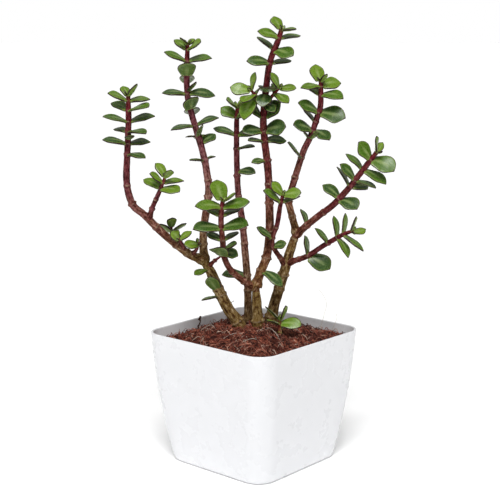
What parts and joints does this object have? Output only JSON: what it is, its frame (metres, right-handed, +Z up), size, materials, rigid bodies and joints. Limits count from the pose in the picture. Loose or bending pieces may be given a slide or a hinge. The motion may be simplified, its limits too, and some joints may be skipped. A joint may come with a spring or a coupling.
{
  "type": "potted jade plant",
  "caption": "Young branching jade plant with thick round leaves, growing in a square tapered glossy white pot full of potting mix.",
  "frame": {"origin": "middle of the pot's underside, on the surface that the pot stands on", "axes": "+Z up along the plant's height; the pot's flat sides face +X, -X, +Y and -Y; the plant's broad side faces the corner between +X and -Y"},
  "size_m": [0.1735, 0.1569, 0.3489],
  "materials": {
    "pot": "smooth glossy white moulded plastic",
    "potting_mix": "rough red-brown coir fibres and chips",
    "stem": "smooth bark, olive-brown at the foot and maroon when young",
    "leaf": "waxy green leaf with a thin maroon margin",
    "young_leaf": "waxy yellow-green young leaf"
  },
  "bodies": {
    "root": {"back_stem": "stem", "back_stem_leaves_1": "leaf", "back_stem_leaves_2": "leaf", "back_stem_leaves_3": "leaf", "back_stem_tip": "young_leaf", "centre_stems": "stem", "left_bare_twig_tip": "young_leaf", "left_branch_leaves_1": "leaf", "left_branch_leaves_2": "leaf", "left_branch_leaves_3": "leaf", "left_branch_leaves_4": "leaf", "left_branch_tip": "young_leaf", "left_fork_sprig_tip": "young_leaf", "left_low_sprig_tip": "young_leaf", "left_side_shoot_tip": "young_leaf", "left_stems": "stem", "left_trunk_leaves": "leaf", "left_upright_leaves_1": "leaf", "left_upright_leaves_2": "leaf", "left_upright_leaves_3": "leaf", "left_upright_leaves_4": "leaf", "left_upright_leaves_5": "leaf", "left_upright_leaves_6": "leaf", "left_upright_tip": "young_leaf", "mid_shoot_leaves_1": "leaf", "mid_shoot_leaves_2": "leaf", "mid_shoot_leaves_3": "leaf", "mid_shoot_leaves_4": "leaf", "mid_shoot_tip": "young_leaf", "pot": "pot", "potting_mix": "potting_mix", "right_branch_leaves_1": "leaf", "right_branch_leaves_2": "leaf", "right_branch_leaves_3": "leaf", "right_branch_leaves_4": "leaf", "right_branch_tip": "young_leaf", "right_inner_shoot_leaves": "leaf", "right_inner_shoot_tip": "young_leaf", "right_low_branch_leaves_1": "leaf", "right_low_branch_leaves_2": "leaf", "right_low_branch_leaves_3": "leaf", "right_low_branch_tip": "young_leaf", "right_stems": "stem", "right_upright_leaves_1": "leaf", "right_upright_leaves_2": "leaf", "right_upright_leaves_3": "leaf", "right_upright_leaves_4": "leaf", "right_upright_leaves_5": "leaf", "right_upright_tip": "young_leaf", "sprout_stem": "stem", "sprout_tip": "young_leaf", "tall_left_twig_tip": "young_leaf", "tall_right_twig_tip": "young_leaf", "tall_shoot_leaves_1": "leaf", "tall_shoot_leaves_2": "leaf", "tall_shoot_leaves_3": "leaf", "tall_shoot_leaves_4": "leaf", "tall_shoot_leaves_5": "leaf", "tall_shoot_leaves_6": "leaf", "tall_shoot_tip": "young_leaf"}
  },
  "joints": []
}
